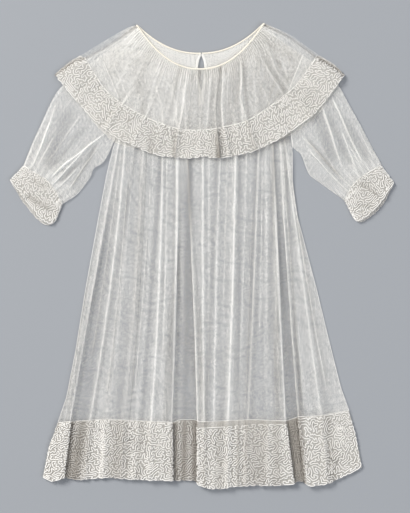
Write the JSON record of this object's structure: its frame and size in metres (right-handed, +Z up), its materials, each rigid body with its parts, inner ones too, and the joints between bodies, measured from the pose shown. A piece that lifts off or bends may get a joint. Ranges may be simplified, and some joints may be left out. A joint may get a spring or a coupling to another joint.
{
  "type": "christening gown",
  "caption": "Baby's christening gown of sheer cotton net laid flat, with a cape collar, cuffed sleeves and a full skirt, its collar, cuffs and hem banded with couched cord.",
  "frame": {"origin": "Middle of the gown's box, on the surface that it lies on.", "axes": "+Y runs from the hem to the neck, +X to the right as one looks at the front, +Z up from the surface, out of the gown's front."},
  "size_m": [0.5, 0.6058, 0.0123],
  "materials": {
    "net": "sheer cotton bobbin net, matt",
    "corded_net": "net covered with couched cotton cord, matt",
    "binding": "narrow cotton bias binding, matt",
    "tape": "woven cotton tape, matt"
  },
  "bodies": {
    "root": {"body_front": "net", "body_back": "net", "hem_band_front": "corded_net", "hem_band_back": "corded_net", "bertha_front": "net", "bertha_back": "net", "bertha_band_front": "corded_net", "bertha_band_back": "corded_net", "sleeve_left": "net", "sleeve_right": "net", "cuff_left": "corded_net", "cuff_right": "corded_net", "neck_binding": "binding", "placket_tape_left": "tape", "placket_tape_right": "tape"}
  },
  "joints": []
}
